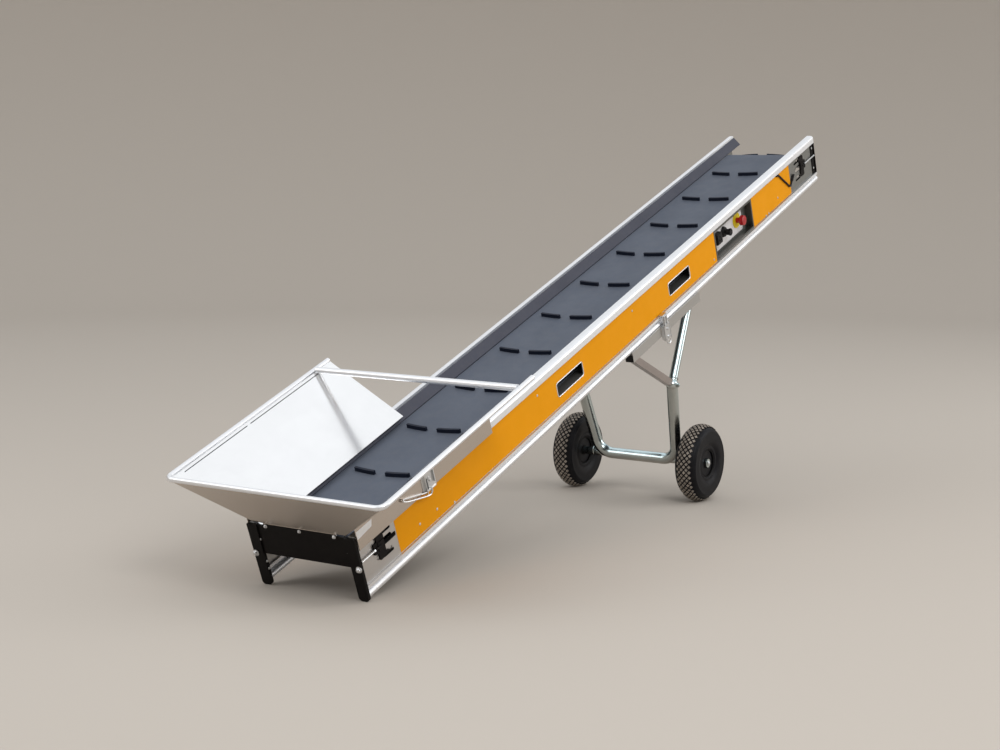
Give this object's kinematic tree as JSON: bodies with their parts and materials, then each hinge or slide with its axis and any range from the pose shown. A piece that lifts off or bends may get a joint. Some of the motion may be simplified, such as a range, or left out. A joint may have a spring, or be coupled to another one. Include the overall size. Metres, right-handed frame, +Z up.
{
  "type": "mobile belt conveyor",
  "caption": "Inclined mobile belt conveyor: cleated belt between aluminium side profiles, sheet feed hopper at the low end, wheeled tube undercarriage that slides on the profiles.",
  "frame": {"origin": "centre of the bounding box in plan, on the floor", "axes": "+X towards the raised head end, +Y to the left of the belt's run, +Z up; the belt rises at about 20.7 degrees"},
  "size_m": [3.2994, 0.7862, 1.3629],
  "materials": {
    "profile": "mill finish, satin",
    "sheet_polished": "bright rolled sheet",
    "tube_bright": "bright drawn",
    "bed": "worn sheet",
    "seal": "dark grey strip",
    "belt": "blue grey, matt, dusty",
    "drum": "turned steel",
    "black_steel": "black powder coat",
    "zinc": "bright zinc plating",
    "zinc_tube": "hot-dip zinc, dull spangle",
    "yellow_plastic": "moulded",
    "red_plastic": "moulded",
    "black_plastic": "moulded",
    "cable": "rubber sheath",
    "tyre": "road dust on the tread"
  },
  "bodies": {
    "conveyor": {"side_frame_right": "profile", "side_frame_left": "profile", "slider_bed": "bed", "cross_tubes": "tube_bright", "side_seal_right": "seal", "side_seal_left": "seal", "return_guides": "profile", "belt": "belt", "head_drum": "drum", "tail_drum": "drum", "head_bracket_right": "black_steel", "head_bracket_left": "black_steel", "tail_bracket_right": "black_steel", "tail_bracket_left": "black_steel", "foot_plate_right": "black_steel", "foot_plate_left": "black_steel", "tail_cross_plate": "black_steel", "head_plate_right": "black_steel", "head_plate_left": "black_steel", "hopper_front_panel": "sheet_polished", "hopper_right_panel": "sheet_polished", "hopper_left_panel": "sheet_polished", "hopper_rim": "tube_bright", "hopper_cross_tube": "tube_bright", "hopper_latch_right": "zinc", "hopper_latch_left": "zinc", "control_box": "sheet_polished", "stop_plate": "yellow_plastic", "stop_button": "red_plastic", "start_switch": "black_plastic", "power_inlet": "black_plastic", "motor_cable": "cable"},
    "carriage": {"axle_frame": "zinc_tube", "slide_channel_right": "profile", "slide_channel_left": "profile", "brace_right": "zinc", "brace_left": "zinc", "clamp_right": "zinc", "clamp_left": "zinc"},
    "wheel_right": {"tyre_right": "tyre", "hub_right": "black_plastic"},
    "wheel_left": {"tyre_left": "tyre", "hub_left": "black_plastic"}
  },
  "joints": [
    {"name": "carriage_slide", "type": "slide", "parent": "conveyor", "child": "carriage", "axis": [0.9354, 0, 0.3535], "range_m": [-0.4, 0.45]},
    {"name": "wheel_right_spin", "type": "hinge", "parent": "carriage", "child": "wheel_right", "pos_m": [0.46417, -0.26, 0.143], "axis": [0, 1, 0], "continuous": true},
    {"name": "wheel_left_spin", "type": "hinge", "parent": "carriage", "child": "wheel_left", "pos_m": [0.46417, 0.26, 0.143], "axis": [0, 1, 0], "continuous": true}
  ]
}
